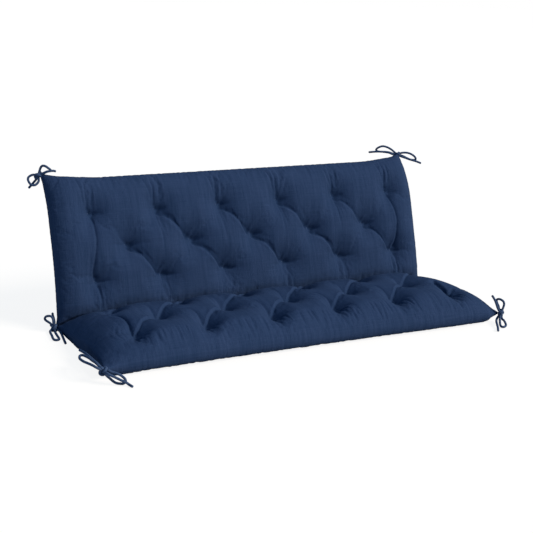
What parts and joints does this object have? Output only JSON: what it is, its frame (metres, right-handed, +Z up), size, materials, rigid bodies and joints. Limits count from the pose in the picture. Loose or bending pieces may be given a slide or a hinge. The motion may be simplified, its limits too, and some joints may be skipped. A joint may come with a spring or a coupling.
{
  "type": "bench cushion",
  "caption": "Tufted seat and back cushion made as one folded filled mat, with cord ties in bows at the corners and at the ends of the fold.",
  "frame": {"origin": "on the floor, under the middle of the cushion's outline without its ties", "axes": "+X across the bench towards the sitter's left hand, -Y towards the front edge of the seat, +Z up"},
  "size_m": [1.6291, 0.8306, 0.5379],
  "materials": {
    "navy_cloth": "matte woven cloth",
    "navy_cord": "matte braided cord"
  },
  "bodies": {
    "root": {"cushion": "navy_cloth", "tie_top_left_knot": "navy_cord", "tie_top_right_knot": "navy_cord", "tie_fold_left_knot": "navy_cord", "tie_fold_right_knot": "navy_cord", "tie_front_left_knot": "navy_cord", "tie_front_right_knot": "navy_cord", "tie_top_left_loop_a": "navy_cord", "tie_top_left_tail_a": "navy_cord", "tie_top_left_loop_b": "navy_cord", "tie_top_left_tail_b": "navy_cord", "tie_top_right_loop_a": "navy_cord", "tie_top_right_tail_a": "navy_cord", "tie_top_right_loop_b": "navy_cord", "tie_top_right_tail_b": "navy_cord", "tie_fold_left_loop_a": "navy_cord", "tie_fold_left_tail_a": "navy_cord", "tie_fold_left_loop_b": "navy_cord", "tie_fold_left_tail_b": "navy_cord", "tie_fold_right_loop_a": "navy_cord", "tie_fold_right_tail_a": "navy_cord", "tie_fold_right_loop_b": "navy_cord", "tie_fold_right_tail_b": "navy_cord", "tie_front_left_loop_a": "navy_cord", "tie_front_left_tail_a": "navy_cord", "tie_front_left_loop_b": "navy_cord", "tie_front_left_tail_b": "navy_cord", "tie_front_right_loop_a": "navy_cord", "tie_front_right_tail_a": "navy_cord", "tie_front_right_loop_b": "navy_cord", "tie_front_right_tail_b": "navy_cord"}
  },
  "joints": []
}
